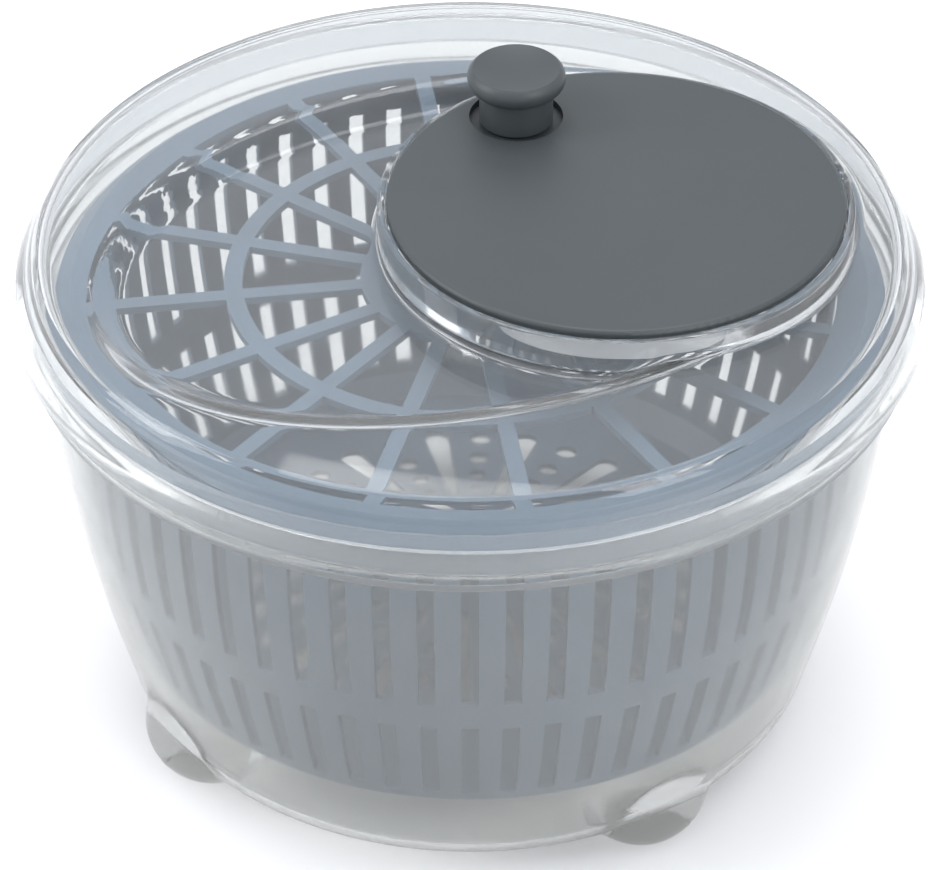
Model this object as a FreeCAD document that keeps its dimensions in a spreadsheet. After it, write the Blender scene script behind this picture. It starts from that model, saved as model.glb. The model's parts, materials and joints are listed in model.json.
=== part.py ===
import FreeCAD, Part

import math
import os
import re
import Sketcher

Vector = FreeCAD.Vector
Placement = FreeCAD.Placement
Rotation = FreeCAD.Rotation

# Salad spinner: a translucent bowl on four feet, a slotted basket with a spoked cover, and a clear
# lid whose round turret holds an off-centre crank disc.  A ring gear under the disc turns a pinion
# on the basket's axis, four turns of the basket for one of the disc.
# Origin: centre of the circle of feet, on the table.  +Z up.  Millimetres and degrees.

SIZES = {
    # bowl
    "foot_rise": 5.0,            # table to the underside of the bowl's floor
    "bowl_wall": 2.2,
    "bowl_base_radius": 87.0,    # flat of the floor
    "bowl_heel_radius": 98.8,    # wall just above the rounded lower corner
    "bowl_heel_height": 16.0,
    "bowl_mid_radius": 110.0,
    "bowl_mid_height": 64.0,
    "bowl_neck_radius": 117.3,   # wall just under the rolled rim
    "bowl_rim_radius": 122.0,
    "bowl_rim_depth": 4.2,
    "bowl_lip_radius": 119.5,
    "bowl_lip_rise": 3.0,        # lip above the lid's lower edge
    "rim_shadow_gap": 3.8,       # rolled rim's top to the lid's lower edge
    "bowl_cone_radius": 24.0,    # raised cone in the floor that carries the pivot pin
    "bowl_cone_top_radius": 9.0,
    "bowl_cone_height": 17.0,
    "foot_count": 4,
    "foot_circle_radius": 86.5,
    "foot_ball_radius": 18.5,
    "foot_ball_height": 15.0,
    "foot_turn": 33.0,           # first foot's angle from +X
    "pin_radius": 3.0,
    "pin_stand": 8.0,            # pin above its cone
    "pin_seat": 9.0,             # pin inside its cone
    # lid shell
    "lid_edge_height": 130.0,    # lower edge of the lid's skirt
    "lid_radius": 125.0,
    "lid_skirt": 5.0,
    "lid_wall": 2.0,
    "shoulder_radius": 118.2,
    "shoulder_rise": 17.9,
    "crown_radius": 84.0,
    "crown_rise": 22.5,
    "crown_top_rise": 24.0,
    "plateau_rise": 17.0,        # sunk floor of the lid
    "hollow_long": 108.0,        # half lengths of the oval that the floor fills
    "hollow_short": 75.0,
    "hollow_turn": 23.4,
    "hollow_x": 2.0,
    "hollow_y": -7.5,
    "locating_rib_radius": 120.0,
    "locating_rib_wall": 2.0,
    "seat_gap": 0.3,
    # turret, crank disc and gears
    "gear_module": 1.25,
    "ring_teeth": 84,
    "pinion_teeth": 21,
    "gear_depth": 6.4,
    "disc_radius": 62.0,
    "disc_rise": 30.0,           # top of the disc above the lid's lower edge
    "disc_thickness": 2.6,
    "disc_edge_round": 1.2,
    "disc_gap": 0.5,
    "turret_wall": 2.0,
    "turret_drop": 1.6,          # turret's rim below the disc's top
    "ring_rim": 5.2,
    "ring_floor_gap": 0.9,
    "boss_radius": 9.5,
    "boss_top_gap": 3.4,
    "shoulder_hub_radius": 9.0,
    "shoulder_hub_drop": 2.0,
    "hub_radius": 5.0,
    "bush_wall": 1.6,
    "fit_gap": 0.02,             # pressed and screwed fits within one assembly
    "running_gap": 0.05,
    "washer_thickness": 1.0,
    "washer_radius": 9.0,
    "axial_play": 0.4,
    "screw_radius": 1.5,
    "screw_head_radius": 3.0,
    "screw_head_height": 2.0,
    "hub_screw_length": 10.0,
    "ring_screw_radius": 1.1,
    "ring_screw_head_radius": 2.0,
    "ring_screw_length": 7.0,
    "ring_screw_count": 4,
    "post_radius": 2.4,
    # pinion shaft and dog
    "shaft_radius": 3.0,
    "shaft_in_dog": 4.0,
    "pinion_bush_flange": 0.8,
    "centre_boss_drop": 4.0,
    "centre_boss_wall": 1.9,
    "dog_across": 6.5,           # radius over the hexagon's corners
    "dog_length": 7.3,
    "dog_gap": 0.4,
    "dog_screw_length": 8.0,
    # knob
    "knob_reach": 47.6,          # disc centre to knob axis
    "knob_angle": 124.0,
    "knob_cap_radius": 13.6,
    "knob_cap_height": 5.6,
    "knob_stem_radius": 10.2,
    "knob_stem_height": 11.4,
    "knob_dish": 1.6,
    "recess_radius": 13.0,
    "recess_depth": 1.8,
    "recess_floor": 1.4,
    "spindle_radius": 3.0,
    "spindle_height": 10.4,      # above the recess floor
    "spindle_barb": 0.8,
    "spindle_barb_height": 2.5,
    "spindle_head_radius": 5.0,
    "spindle_head_height": 0.7,
    # basket
    "basket_wall": 1.8,
    "basket_rim_radius": 113.4,
    "basket_rim_height": 128.0,
    "basket_rim_thickness": 1.8,
    "basket_top_radius": 110.4,
    "basket_mid_radius": 106.6,
    "basket_mid_height": 70.0,
    "basket_low_radius": 96.6,
    "basket_low_height": 30.0,
    "basket_base_radius": 89.0,
    "basket_base_height": 23.5,
    "basket_dome_rise": 14.0,
    "slot_count": 60,
    "slot_width": 4.6,
    "upper_slot_low": 72.0,
    "upper_slot_high": 118.0,
    "lower_slot_low": 33.5,
    "lower_slot_high": 62.5,
    "floor_sectors": 15,
    "tear_outer": 64.0,
    "tear_inner": 27.0,
    "tear_outer_radius": 3.5,
    "tear_inner_radius": 1.3,
    "tear_turn": 3.0,
    "socket_radius": 8.0,        # moulded socket under the basket that holds the pivot bush
    "socket_gap": 1.3,
    # basket cover
    "cover_thickness": 2.2,
    "cover_rise": 3.0,           # cover plane above the lid's lower edge
    "cover_ring_inner": 100.0,
    "cover_ring_outer": 113.0,
    "cover_mid_radius": 64.6,
    "cover_mid_width": 5.0,
    "cover_hub_radius": 30.0,
    "cover_collar_radius": 10.5,
    "cover_collar_height": 6.0,
    "spoke_count": 16,
    "spoke_width": 4.5,
    "spoke_turn": 8.0,
    "cover_lip_radius": 108.2,
    "cover_lip_wall": 1.6,
    "cover_lip_depth": 4.0,
}

doc = FreeCAD.newDocument("SaladSpinner")
sheet = doc.addObject("Spreadsheet::Sheet", "Sizes")
for row, (alias, number) in enumerate(SIZES.items(), start=1):
    sheet.set(f"A{row}", alias)
    sheet.set(f"B{row}", str(number))
    sheet.setAlias(f"B{row}", alias)
doc.recompute()

# Heights and radii that several pieces share, as expressions of the sheet.
BOWL_FLOOR = "(foot_rise + bowl_wall)"
CONE_TOP = f"({BOWL_FLOOR} + bowl_cone_height)"
PIN_TOP = f"({CONE_TOP} + pin_stand)"
BOWL_LIP = "(lid_edge_height + bowl_lip_rise)"
BOWL_RIM_TOP = "(lid_edge_height - rim_shadow_gap)"
BUSH_BORE = "(pin_radius + running_gap)"
BUSH_RADIUS = f"({BUSH_BORE} + bush_wall)"
SOCKET_LOW = f"({CONE_TOP} + socket_gap)"
DOME_UNDER = "(basket_base_height + basket_dome_rise)"
COVER_TOP = "(lid_edge_height + cover_rise)"
COVER_UNDER = f"({COVER_TOP} - cover_thickness)"
PLATEAU = "(lid_edge_height + plateau_rise)"
PLATEAU_UNDER = f"({PLATEAU} - lid_wall)"
DISC_TOP = "(lid_edge_height + disc_rise)"
DISC_UNDER = f"({DISC_TOP} - disc_thickness)"
TURRET_INNER = "(disc_radius + disc_gap)"
TURRET_OUTER = f"({TURRET_INNER} + turret_wall)"
TURRET_TOP = f"({DISC_TOP} - turret_drop)"
GEAR_CENTRES = "(gear_module * (ring_teeth - pinion_teeth) / 2)"
RING_ROOT = "(gear_module * ring_teeth / 2 + 1.25 * gear_module)"
RING_LOW = f"({PLATEAU} + ring_floor_gap)"
RING_TOP = f"({RING_LOW} + gear_depth)"
RING_SCREW_CIRCLE = f"({RING_ROOT} + ring_rim / 2)"
RING_SCREW_TOP = f"({RING_LOW} + screw_head_height + ring_screw_length)"
BOSS_TOP = f"({DISC_UNDER} - boss_top_gap)"
HUB_BUSH_RADIUS = "(hub_radius + running_gap + bush_wall)"
HUB_LOW = f"({PLATEAU_UNDER} - axial_play)"
SHAFT_BUSH_RADIUS = "(shaft_radius + running_gap + bush_wall)"
PINION_LOW = f"({PLATEAU} + pinion_bush_flange + axial_play / 2)"
CENTRE_BOSS_LOW = f"({PLATEAU_UNDER} - centre_boss_drop)"
DOG_TOP = f"({CENTRE_BOSS_LOW} - axial_play)"
DOG_LOW = f"({DOG_TOP} - dog_length)"
SHAFT_LOW = f"({DOG_TOP} - shaft_in_dog)"
RECESS_FLOOR = f"({DISC_TOP} - recess_depth)"
CUP_LOW = f"({RECESS_FLOOR} - recess_floor)"
KNOB_LOW = f"({RECESS_FLOOR} + axial_play)"
KNOB_X = f"({GEAR_CENTRES} + knob_reach * cos(knob_angle))"
KNOB_Y = "(knob_reach * sin(knob_angle))"

ALIAS = re.compile(r"[a-z]+(?:_[a-z]+)+")


def size(expression):
    """Value of an expression of the sheet's aliases."""
    return float(sheet.evalExpression(expression))


def bind(target, prop, expression):
    """Bind a property to an expression of the sheet's aliases."""
    target.setExpression(prop, ALIAS.sub(lambda word: "Sizes." + word.group(0), expression))


def place(target, x="0", y="0", z="0"):
    """Bind an object's position."""
    for axis, expression in zip("xyz", (x, y, z)):
        if expression != "0":
            bind(target, f"Placement.Base.{axis}", expression)
    return target


# ---- sketches -------------------------------------------------------------------------------

def new_sketch(body, name, role, out="0", turn="0"):
    """Sketch on one of the body's own origin planes, moved out along its normal and turned on it."""
    sketch = body.newObject("Sketcher::SketchObject", name)
    plane = next(item for item in body.Origin.OriginFeatures if item.Role == role)
    sketch.AttachmentSupport = [(plane, "")]
    sketch.MapMode = "FlatFace"
    if out != "0":
        bind(sketch, "AttachmentOffset.Base.z", out)
    if turn != "0":
        sketch.AttachmentOffset = Placement(Vector(), Rotation(Vector(0, 0, 1), size(turn)))
        bind(sketch, "AttachmentOffset.Rotation.Angle", turn)
    return sketch


def constrain(sketch, kind, *places, to=None):
    """Add a constraint, and bind its value when one is given."""
    value = [] if to is None else [size(to)]
    index = sketch.addConstraint(Sketcher.Constraint(kind, *places, *value))
    if to is not None:
        bind(sketch, f"Constraints[{index}]", to)


def pin_point(sketch, geometry, point, x, y):
    """Hold a sketch point at (x, y); "0" puts it on the axis."""
    for kind, axis, value in (("DistanceX", -2, x), ("DistanceY", -1, y)):
        if value == "0":
            constrain(sketch, "PointOnObject", geometry, point, axis)
        else:
            constrain(sketch, kind, -1, 1, geometry, point, to=value)


def draw_outline(sketch, outline):
    """Closed outline through (x, y) corners; a third entry is the point an arc to that corner passes."""
    corners = [Vector(size(entry[0]), size(entry[1]), 0) for entry in outline]
    runs = []
    for index, entry in enumerate(outline):
        start, end = corners[index - 1], corners[index]
        if len(entry) == 3:
            via = Vector(size(entry[2][0]), size(entry[2][1]), 0)
            leftward = (via - start).cross(end - via).z > 0
            arc = Part.Arc(start, via, end) if leftward else Part.Arc(end, via, start)
            run = sketch.addGeometry(arc)
            runs.append((run, 1, 2) if leftward else (run, 2, 1))
            through = sketch.addGeometry(Part.Point(via), True)
            pin_point(sketch, through, 1, *entry[2])
            constrain(sketch, "PointOnObject", through, 1, run)
        else:
            runs.append((sketch.addGeometry(Part.LineSegment(start, end)), 1, 2))
    for index, entry in enumerate(outline):
        run, first, last = runs[index]
        before = runs[index - 1]
        constrain(sketch, "Coincident", before[0], before[2], run, first)
        pin_point(sketch, run, last, entry[0], entry[1])


def lathe(name, outline, x="0", y="0", z="0"):
    """Body turned about its own Z from an outline of (radius, height) corners."""
    body = doc.addObject("PartDesign::Body", name)
    sketch = new_sketch(body, name + "_section", "XZ_Plane")
    draw_outline(sketch, outline)
    turned = body.newObject("PartDesign::Revolution", name + "_turned")
    turned.Profile = sketch
    turned.ReferenceAxis = (sketch, ["V_Axis"])
    turned.Angle = 360
    place(body, x, y, z)
    return body


def pocket_ring(body, sketch, depth, count, backwards):
    """Pocket a sketch and repeat it round the body's Z axis."""
    pocket = body.newObject("PartDesign::Pocket", sketch.Name + "_pocket")
    pocket.Profile = sketch
    pocket.Type = "Length"
    bind(pocket, "Length", depth)
    pocket.Reversed = backwards
    ring = body.newObject("PartDesign::PolarPattern", sketch.Name + "_ring")
    ring.Originals = [pocket]
    ring.Axis = (next(item for item in body.Origin.OriginFeatures if item.Role == "Z_Axis"), [""])
    ring.Angle = 360
    bind(ring, "Occurrences", count)
    body.Tip = ring


# ---- primitives and booleans ----------------------------------------------------------------

def cylinder(name, radius, low, high, x="0", y="0"):
    """Upright cylinder between two heights."""
    item = doc.addObject("Part::Cylinder", name)
    bind(item, "Radius", radius)
    bind(item, "Height", f"{high} - {low}")
    return place(item, x, y, low)


def tube(name, inner, outer, low, high, x="0", y="0"):
    """Upright tube between two heights."""
    return lathe(name, [(inner, "0"), (outer, "0"), (outer, f"{high} - {low}"),
                        (inner, f"{high} - {low}")], x, y, low)


def fuse(name, *items):
    joined = doc.addObject("Part::MultiFuse", name)
    joined.Shapes = list(items)
    return joined


def cut(name, base, *tools):
    """Base with each tool cut from it."""
    result = doc.addObject("Part::Cut", name)
    result.Base = base
    result.Tool = tools[0] if len(tools) == 1 else fuse(name + "_tools", *tools)
    return result


def ring_of(make, count, circle, first_angle, x="0", y="0"):
    """Call make(index, x, y) at each place of a ring of them."""
    spots = int(size(count))
    return [make(index,
                 f"{x} + {circle} * cos({first_angle} + {index} * 360 / {count})",
                 f"{y} + {circle} * sin({first_angle} + {index} * 360 / {count})")
            for index in range(spots)]


def shape_node(name, shape):
    """Piece whose outline is a formula: a plain shape."""
    item = doc.addObject("Part::Feature", name)
    item.Shape = shape
    return item


# ---- bowl -----------------------------------------------------------------------------------

def make_bowl():
    """Bowl with a rolled rim, a raised cone in its floor and ball-shaped feet round its heel."""
    neck_low = f"{BOWL_RIM_TOP} - bowl_rim_depth"
    cavity = [("bowl_cone_radius", BOWL_FLOOR),
              ("bowl_base_radius - bowl_wall / 2", BOWL_FLOOR),
              ("bowl_heel_radius - bowl_wall", "bowl_heel_height",
               ("bowl_heel_radius - 3.4 - bowl_wall * 0.75", "foot_rise + 3.6 + bowl_wall * 0.6")),
              ("bowl_neck_radius - bowl_wall", neck_low,
               ("bowl_mid_radius - bowl_wall", "bowl_mid_height")),
              ("bowl_lip_radius - bowl_wall", BOWL_LIP)]
    rim_and_outside = [("bowl_lip_radius", BOWL_LIP),
                       ("bowl_lip_radius", BOWL_RIM_TOP),
                       ("bowl_rim_radius - bowl_rim_depth / 3", BOWL_RIM_TOP),
                       ("bowl_rim_radius", f"{BOWL_RIM_TOP} - bowl_rim_depth / 2"),
                       ("bowl_rim_radius - bowl_rim_depth / 3", neck_low),
                       ("bowl_neck_radius", neck_low),
                       ("bowl_heel_radius", "bowl_heel_height",
                        ("bowl_mid_radius", "bowl_mid_height")),
                       ("bowl_base_radius", "foot_rise",
                        ("bowl_heel_radius - 3.4", "foot_rise + 3.6"))]
    pin_hole_and_cone = [("0", "foot_rise"), ("0", f"{CONE_TOP} - pin_seat"),
                         ("pin_radius", f"{CONE_TOP} - pin_seat"), ("pin_radius", CONE_TOP),
                         ("bowl_cone_top_radius", CONE_TOP)]
    shell = lathe("bowl_shell", cavity + rim_and_outside + pin_hole_and_cone)
    balls = ring_of(lambda index, x, y: make_ball(f"foot_ball_{index}", x, y),
                    "foot_count", "foot_circle_radius", "foot_turn")
    hollow = lathe("bowl_hollow", cavity + [("0", BOWL_LIP), ("0", BOWL_FLOOR)])
    table = cylinder("under_table", "lid_radius", "(0 - foot_ball_radius)", "0")
    feet = cut("feet", fuse("foot_balls", *balls), hollow, table)
    return fuse("outer_bowl", shell, feet)


def make_ball(name, x, y):
    ball = doc.addObject("Part::Sphere", name)
    bind(ball, "Radius", "foot_ball_radius")
    return place(ball, x, y, "foot_ball_height")


def make_pivot_pin():
    """Round-nosed steel pin pressed in the cone: the basket stands and turns on it."""
    nose = "pin_radius / 2"
    low = f"({CONE_TOP} - pin_seat)"
    return lathe("pivot_pin", [("0", low), ("pin_radius - fit_gap", low),
                               ("pin_radius - fit_gap", f"{PIN_TOP} - {nose}"),
                               (nose, PIN_TOP), ("0", PIN_TOP)])


# ---- basket ---------------------------------------------------------------------------------

def make_basket():
    """Basket with two rows of slots, a domed floor of teardrops and dots, and a pivot socket."""
    outside = [(BUSH_RADIUS, SOCKET_LOW), ("socket_radius", SOCKET_LOW),
               ("socket_radius", DOME_UNDER),
               ("basket_base_radius", "basket_base_height"),
               ("basket_low_radius", "basket_low_height"),
               ("basket_top_radius", "basket_rim_height - basket_rim_thickness",
                ("basket_mid_radius", "basket_mid_height")),
               ("basket_rim_radius", "basket_rim_height - basket_rim_thickness"),
               ("basket_rim_radius", "basket_rim_height")]
    inside = [("basket_top_radius - basket_wall", "basket_rim_height"),
              ("basket_low_radius - basket_wall", "basket_low_height + basket_wall / 2",
               ("basket_mid_radius - basket_wall", "basket_mid_height")),
              ("basket_base_radius - basket_wall / 2", "basket_base_height + basket_wall"),
              ("socket_radius", f"{DOME_UNDER} + basket_wall"),
              ("0", f"{DOME_UNDER} + basket_wall"), ("0", DOME_UNDER), (BUSH_RADIUS, DOME_UNDER)]
    basket = lathe("basket", outside + inside)
    reach = "(basket_rim_radius - basket_base_radius + 12)"
    slots = new_sketch(basket, "wall_slots", "YZ_Plane", "basket_base_radius - 12")
    draw_slot(slots, "lower_slot_low", "lower_slot_high")
    draw_slot(slots, "upper_slot_low", "upper_slot_high")
    pocket_ring(basket, slots, reach, "slot_count", True)
    depth = "(basket_dome_rise + 3 * basket_wall)"
    tears = new_sketch(basket, "floor_tears", "XY_Plane", "basket_base_height", "tear_turn")
    draw_tear(tears)
    pocket_ring(basket, tears, depth, "floor_sectors", True)
    dots = new_sketch(basket, "floor_dots", "XY_Plane", "basket_base_height",
                      "tear_turn + 180 / floor_sectors")
    for step, radius in (("0.98", "0.92"), ("0.79", "0.86"), ("0.63", "0.7"), ("0.5", "0.52")):
        sketch_circle(dots, f"tear_outer * {step}", f"tear_outer_radius * {radius}")
    pocket_ring(basket, dots, depth, "floor_sectors", True)
    return basket


def sketch_circle(sketch, reach, radius):
    """Circle on the sketch's own X axis."""
    circle = sketch.addGeometry(Part.Circle(Vector(size(reach), 0, 0), Vector(0, 0, 1), size(radius)))
    pin_point(sketch, circle, 3, reach, "0")
    constrain(sketch, "Radius", circle, to=radius)
    return circle


def draw_slot(sketch, low, high):
    """Upright slot centred on the sketch's Y axis."""
    half, bottom, top = size("slot_width / 2"), size(low), size(high)
    corners = [Vector(-half, bottom, 0), Vector(half, bottom, 0), Vector(half, top, 0), Vector(-half, top, 0)]
    edges = [sketch.addGeometry(Part.LineSegment(corners[index], corners[(index + 1) % 4]))
             for index in range(4)]
    for index, edge in enumerate(edges):
        constrain(sketch, "Coincident", edge, 2, edges[(index + 1) % 4], 1)
    for kind, edge in (("Vertical", 1), ("Vertical", 3), ("Horizontal", 2)):
        constrain(sketch, kind, edges[edge])
    constrain(sketch, "Symmetric", edges[0], 1, edges[0], 2, -2)
    constrain(sketch, "DistanceX", edges[0], 1, edges[0], 2, to="slot_width")
    constrain(sketch, "DistanceY", -1, 1, edges[0], 1, to=low)
    constrain(sketch, "DistanceY", -1, 1, edges[2], 1, to=high)


def draw_tear(sketch):
    """Teardrop along the sketch's X axis, its wide round end outwards."""
    far, near = size("tear_outer"), size("tear_inner")
    wide, narrow = size("tear_outer_radius"), size("tear_inner_radius")
    lean = math.acos((wide - narrow) / (far - near))
    axis = Vector(0, 0, 1)
    ends = []
    for reach, radius, start, stop in ((far, wide, lean - math.pi, math.pi - lean),
                                       (near, narrow, math.pi - lean, math.pi + lean)):
        circle = Part.Circle(Vector(reach, 0, 0), axis, radius)
        ends.append(sketch.addGeometry(Part.ArcOfCircle(circle, start, stop)))
    outer, inner = ends
    upper = sketch.addGeometry(Part.LineSegment(sketch.Geometry[outer].EndPoint,
                                                sketch.Geometry[inner].StartPoint))
    lower = sketch.addGeometry(Part.LineSegment(sketch.Geometry[inner].EndPoint,
                                                sketch.Geometry[outer].StartPoint))
    constrain(sketch, "Tangent", outer, 2, upper, 1)
    constrain(sketch, "Tangent", upper, 2, inner, 1)
    constrain(sketch, "Tangent", inner, 2, lower, 1)
    constrain(sketch, "Tangent", lower, 2, outer, 1)
    pin_point(sketch, outer, 3, "tear_outer", "0")
    pin_point(sketch, inner, 3, "tear_inner", "0")
    constrain(sketch, "Radius", outer, to="tear_outer_radius")
    constrain(sketch, "Radius", inner, to="tear_inner_radius")


def make_pivot_bush():
    """Blind bush in the basket's socket, resting on the pivot pin's nose."""
    seat = f"({PIN_TOP} + axial_play)"
    return lathe("pivot_bush", [(BUSH_BORE, SOCKET_LOW), (f"{BUSH_RADIUS} - fit_gap", SOCKET_LOW),
                                (f"{BUSH_RADIUS} - fit_gap", DOME_UNDER), ("0", DOME_UNDER),
                                ("0", seat), (BUSH_BORE, seat)])


# ---- basket cover ---------------------------------------------------------------------------

def make_cover():
    """Spoked cover on the basket's rim, and the hexagonal collar on it that the lid's dog turns."""
    ring = lathe("cover_ring", [
        ("cover_ring_inner", COVER_UNDER),
        ("cover_lip_radius - cover_lip_wall", COVER_UNDER),
        ("cover_lip_radius - cover_lip_wall", "basket_rim_height - cover_lip_depth"),
        ("cover_lip_radius", "basket_rim_height - cover_lip_depth"),
        ("cover_lip_radius", "basket_rim_height"),
        ("cover_ring_outer", "basket_rim_height"),
        ("cover_ring_outer", "basket_rim_height + cover_thickness / 2"),
        ("cover_lip_radius", COVER_TOP),
        ("cover_ring_inner", COVER_TOP)])
    middle = tube("cover_middle", "cover_mid_radius - cover_mid_width / 2",
                  "cover_mid_radius + cover_mid_width / 2", COVER_UNDER, COVER_TOP)
    hub = cylinder("cover_hub", "cover_hub_radius", COVER_UNDER, COVER_TOP)
    collar = cylinder("collar_blank", "cover_collar_radius", COVER_TOP,
                      f"({COVER_TOP} + cover_collar_height)")
    spokes = [make_spoke(index) for index in range(int(size("spoke_count")))]
    socket = doc.addObject("Part::Prism", "cover_socket")
    socket.Polygon = 6
    bind(socket, "Circumradius", "dog_across + dog_gap")
    bind(socket, "Height", "cover_thickness + cover_collar_height + 2")
    place(socket, z=f"{COVER_UNDER} - 1")
    return [cut("basket_cover", fuse("cover_blank", ring, middle, hub, *spokes), socket),
            cut("cover_collar", collar, socket)]


def make_spoke(index):
    """Bar from the hub to the outer ring."""
    angle = f"(spoke_turn + {index} * 360 / spoke_count)"
    bar = doc.addObject("Part::Box", f"spoke_{index}")
    bind(bar, "Length", "cover_ring_inner - cover_hub_radius + 4")
    bind(bar, "Width", "spoke_width")
    bind(bar, "Height", "cover_thickness")
    start = "(cover_hub_radius - 2)"
    bar.Placement = Placement(Vector(), Rotation(Vector(0, 0, 1), size(angle)))
    bind(bar, "Placement.Rotation.Angle", angle)
    return place(bar, f"{start} * cos({angle}) + spoke_width / 2 * sin({angle})",
                 f"{start} * sin({angle}) - spoke_width / 2 * cos({angle})", COVER_UNDER)


# ---- lid ------------------------------------------------------------------------------------

def oval(name, grow, low, high):
    """Solid over the lid's oval hollow, its outline moved out by grow."""
    edge = doc.addObject("Part::Ellipse", name + "_edge")
    bind(edge, "MajorRadius", f"hollow_long + {grow}")
    bind(edge, "MinorRadius", f"hollow_short + {grow}")
    edge.Placement = Placement(Vector(), Rotation(Vector(0, 0, 1), size("hollow_turn")))
    bind(edge, "Placement.Rotation.Angle", "hollow_turn")
    place(edge, "hollow_x", "hollow_y", low)
    block = doc.addObject("Part::Extrusion", name)
    block.Base = edge
    block.DirMode = "Custom"
    block.Dir = Vector(0, 0, 1)
    block.Solid = True
    bind(block, "LengthFwd", f"{high} - {low}")
    return block


def make_lid():
    """Clear lid: low dome, sunk oval floor, and the turret that holds the crank disc."""
    above = f"({DISC_TOP} + 10)"
    edge = "lid_edge_height"
    crown = ("crown_radius", f"{edge} + crown_rise")
    dome = lathe("dome", [("0", edge), ("lid_radius", edge), ("lid_radius", f"{edge} + lid_skirt"),
                          ("lid_radius - 1.1", f"{edge} + lid_skirt + 2.4"),
                          ("shoulder_radius", f"{edge} + shoulder_rise"),
                          ("0", f"{edge} + crown_top_rise", crown)])
    void = lathe("dome_void", [("0", f"{edge} - 1"), ("lid_radius - lid_wall", f"{edge} - 1"),
                               ("lid_radius - lid_wall", f"{edge} + lid_skirt - 0.6"),
                               ("lid_radius - lid_wall - 1.1", f"{edge} + lid_skirt + 1.8"),
                               ("shoulder_radius - lid_wall", f"{edge} + shoulder_rise - lid_wall * 0.8"),
                               ("0", f"{edge} + crown_top_rise - lid_wall",
                                ("crown_radius", f"{edge} + crown_rise - lid_wall"))])
    hollow = oval("hollow", "0", PLATEAU, above)
    hollow_block = oval("hollow_block", "lid_wall", PLATEAU_UNDER, above)
    turret_block = cylinder("turret_block", TURRET_OUTER, PLATEAU_UNDER, above, GEAR_CENTRES)
    turret = cylinder("turret", TURRET_OUTER, PLATEAU_UNDER, TURRET_TOP, GEAR_CENTRES)
    turret_well = cylinder("turret_well", TURRET_INNER, PLATEAU, above, GEAR_CENTRES)
    skin = cut("lid_skin", fuse("lid_block", cut("dome_sunk", dome, hollow), turret),
               cut("lid_void", void, hollow_block, turret_block), turret_well)
    rib = tube("locating_rib", "locating_rib_radius - locating_rib_wall", "locating_rib_radius",
               f"({BOWL_LIP} + seat_gap)", f"({edge} + shoulder_rise - 6)")
    hub_boss = cylinder("hub_boss", "boss_radius", PLATEAU_UNDER, BOSS_TOP, GEAR_CENTRES)
    centre_boss = cylinder("centre_boss", f"{SHAFT_BUSH_RADIUS} + centre_boss_wall",
                           CENTRE_BOSS_LOW, PLATEAU)
    hub_bore = cylinder("hub_bore", HUB_BUSH_RADIUS, f"({PLATEAU_UNDER} - 1)", above, GEAR_CENTRES)
    shaft_bore = cylinder("shaft_bore", SHAFT_BUSH_RADIUS, f"({CENTRE_BOSS_LOW} - 1)",
                          f"({PLATEAU} + 1)")
    return cut("lid", fuse("lid_solid", skin, rib, hub_boss, centre_boss), hub_bore, shaft_bore)


def make_lid_bushes():
    """Plain bush for the disc's hub, flanged bush for the pinion's shaft, and the hub's washer."""
    hub_bush = tube("hub_bush", "hub_radius + running_gap", f"{HUB_BUSH_RADIUS} - fit_gap",
                    PLATEAU_UNDER, BOSS_TOP, GEAR_CENTRES)
    bore = "shaft_radius + running_gap"
    outer = f"{SHAFT_BUSH_RADIUS} - fit_gap"
    flange = f"{PLATEAU} + pinion_bush_flange"
    shaft_bush = lathe("shaft_bush", [(bore, CENTRE_BOSS_LOW), (outer, CENTRE_BOSS_LOW),
                                      (outer, PLATEAU), (f"{outer} + centre_boss_wall", PLATEAU),
                                      (f"{outer} + centre_boss_wall", flange), (bore, flange)])
    washer = tube("thrust_washer", "hub_radius + axial_play", "shoulder_hub_radius", BOSS_TOP,
                  f"({BOSS_TOP} + washer_thickness)", GEAR_CENTRES)
    return [hub_bush, shaft_bush, washer]


# ---- crank disc and what is fixed to it -----------------------------------------------------

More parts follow.
